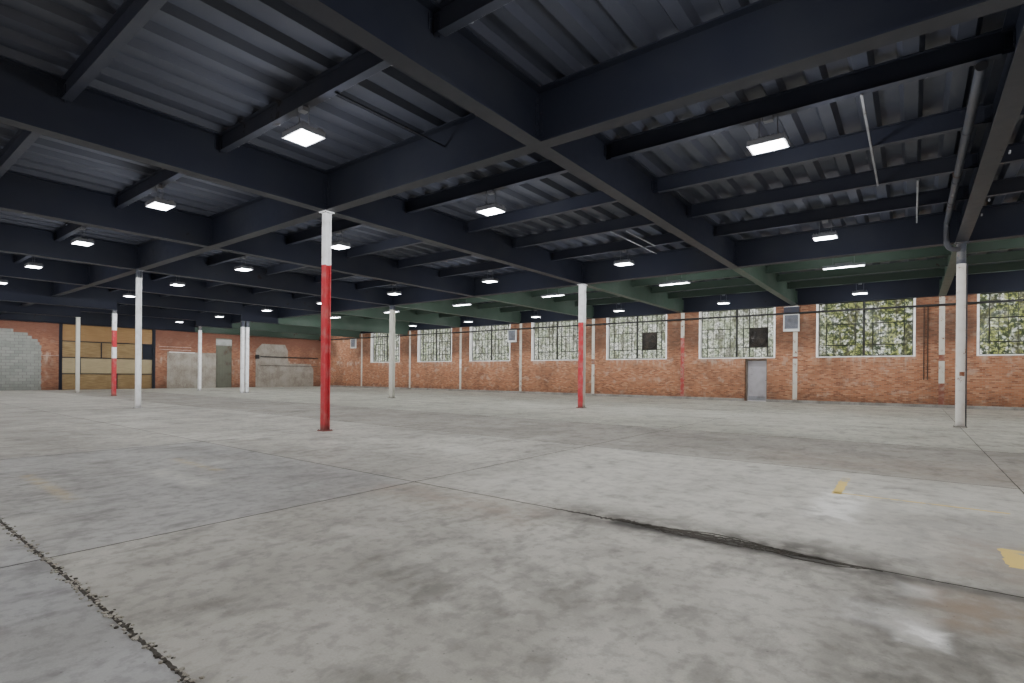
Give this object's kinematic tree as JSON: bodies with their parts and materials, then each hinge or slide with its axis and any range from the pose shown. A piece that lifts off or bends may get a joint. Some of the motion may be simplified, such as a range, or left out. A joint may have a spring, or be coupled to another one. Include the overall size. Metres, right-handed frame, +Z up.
{
  "type": "factory hall, scale model 1:2",
  "caption": "Single-storey brick factory hall at half size: steel girders and joists under a flat roof, two column rows, steel windows, hinged side door.",
  "frame": {"origin": "middle of the plan at ground level, under the floor slab", "axes": "+X along the window wall, away from the far end wall; +Y from inside towards the window wall; +Z up"},
  "size_m": [28.66, 18.742, 3.583],
  "materials": {
    "brick": "old orange-red brick laid in running bond, unpainted",
    "concrete": "worn trowelled concrete",
    "block": "light grey concrete block",
    "dark_steel": "dark blue-grey paint, dull",
    "green_steel": "faded grey-green paint, dull",
    "white_steel": "chipped white paint",
    "red_steel": "red paint below white paint",
    "window_steel": "weathered dark glazing sections",
    "white_paint": "whitewashed lining",
    "glass": "old patterned glass",
    "boards": "unpainted boards",
    "render": "cement render",
    "old_door_paint": "grey-green painted boards",
    "door_paint": "grey painted steel",
    "deck_metal": "dark painted ribbed sheet",
    "roofing": "dark roofing felt",
    "coping_stone": "weathered cast stone",
    "pipe_metal": "grey painted iron pipe",
    "lamp_housing": "white enamelled housing"
  },
  "bodies": {
    "building": {"floor_slab": "concrete", "window_wall_left": "brick", "window_wall_right": "brick", "window_wall_over_door": "brick", "near_wall": "brick", "right_end_wall": "brick", "far_end_wall": "brick", "block_infill": "block", "boarded_frame": "dark_steel", "opening_boards": "boards", "closed_doorway": "old_door_paint", "render_patches": "render", "wall_columns": "white_steel", "kerbs": "concrete", "window_linings": "white_paint", "window_frames": "window_steel", "window_glass": "glass", "fan_panels": "dark_steel", "near_window_linings": "white_paint", "near_window_frames": "window_steel", "near_window_glass": "glass", "end_window_linings": "white_paint", "end_window_frames": "window_steel", "end_window_glass": "glass", "door_frame": "door_paint", "columns_row_1": "red_steel", "columns_row_2": "white_steel", "far_posts": "white_steel", "row_girders": "dark_steel", "edge_beams": "dark_steel", "near_cross_girders": "dark_steel", "middle_cross_girders": "dark_steel", "window_cross_girders": "green_steel", "near_joists": "dark_steel", "middle_joists": "dark_steel", "window_joists": "green_steel", "near_deck": "deck_metal", "middle_deck": "deck_metal", "window_deck": "deck_metal", "roof_covering": "roofing", "coping": "coping_stone", "rainwater_pipe": "pipe_metal", "wall_pipe": "pipe_metal", "wall_ventilators": "white_paint", "high_bay_lamps": "lamp_housing", "strip_lights": "lamp_housing"},
    "door": {"door_leaf": "door_paint"}
  },
  "joints": [
    {"name": "door_hinge", "type": "hinge", "parent": "building", "child": "door", "pos_m": [6.766, 9.357, 0.66], "axis": [0, 0, 1], "range_deg": [0, 100]}
  ]
}
